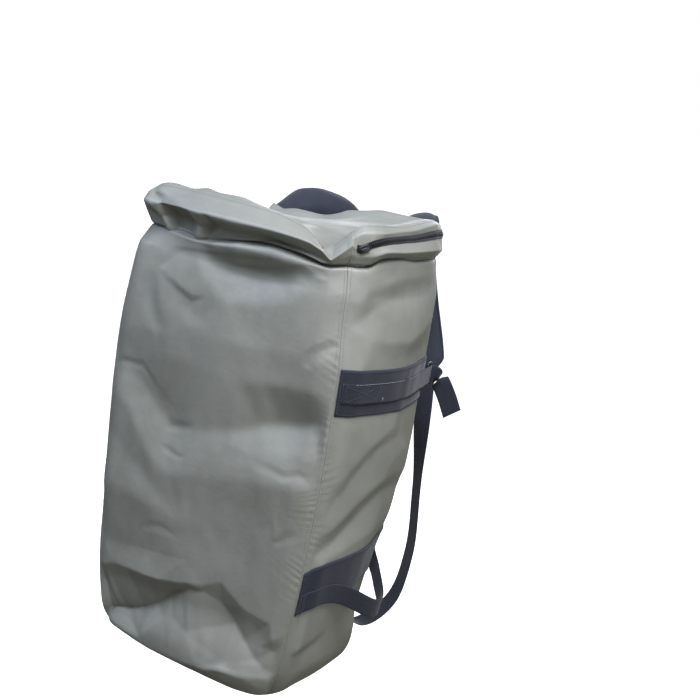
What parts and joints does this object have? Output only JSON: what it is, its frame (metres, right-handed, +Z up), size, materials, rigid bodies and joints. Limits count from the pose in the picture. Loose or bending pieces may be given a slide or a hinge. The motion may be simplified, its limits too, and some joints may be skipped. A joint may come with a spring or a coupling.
{
  "type": "travel duffel bag worn on the back",
  "caption": "Soft grey-green tarpaulin travel duffel hanging upright by padded shoulder straps, with a slumped creased top, an end zip and dark webbing bands and straps on its sides.",
  "frame": {"origin": "midway between the two shoulder straps, at the height of the undersides of their crowns, where they bear on the shoulders", "axes": "+Z up along the hanging bag's long axis, +X to the wearer's right, +Y the way the wearer faces, so the large rear panel faces -Y"},
  "size_m": [0.4456, 0.4318, 0.6646],
  "materials": {
    "tarpaulin": "satin coated tarpaulin, grey-green",
    "webbing": "matt woven webbing, dark navy",
    "padding": "matt woven cover over foam, navy",
    "zip_cloth": "matt woven tape, black",
    "black_plastic": "moulded black plastic"
  },
  "bodies": {
    "root": {"rear_panel": "tarpaulin", "right_panel": "tarpaulin", "front_panel": "tarpaulin", "left_panel": "tarpaulin", "top_end_panel": "tarpaulin", "bottom_end_panel": "tarpaulin", "strap_tab_right": "tarpaulin", "strap_tab_left": "tarpaulin", "strap_foot_right": "tarpaulin", "strap_foot_left": "tarpaulin", "upper_band_right": "webbing", "lower_band_right": "webbing", "upper_strap_right": "webbing", "lower_strap_right": "webbing", "upper_tail_right": "webbing", "upper_band_left": "webbing", "lower_band_left": "webbing", "upper_strap_left": "webbing", "lower_strap_left": "webbing", "strap_web_right": "webbing", "strap_web_left": "webbing", "shoulder_pad_right": "padding", "shoulder_pad_left": "padding", "zip_tape": "zip_cloth", "zip_coil": "black_plastic", "zip_slider": "black_plastic", "upper_buckle_right": "black_plastic"}
  },
  "joints": []
}
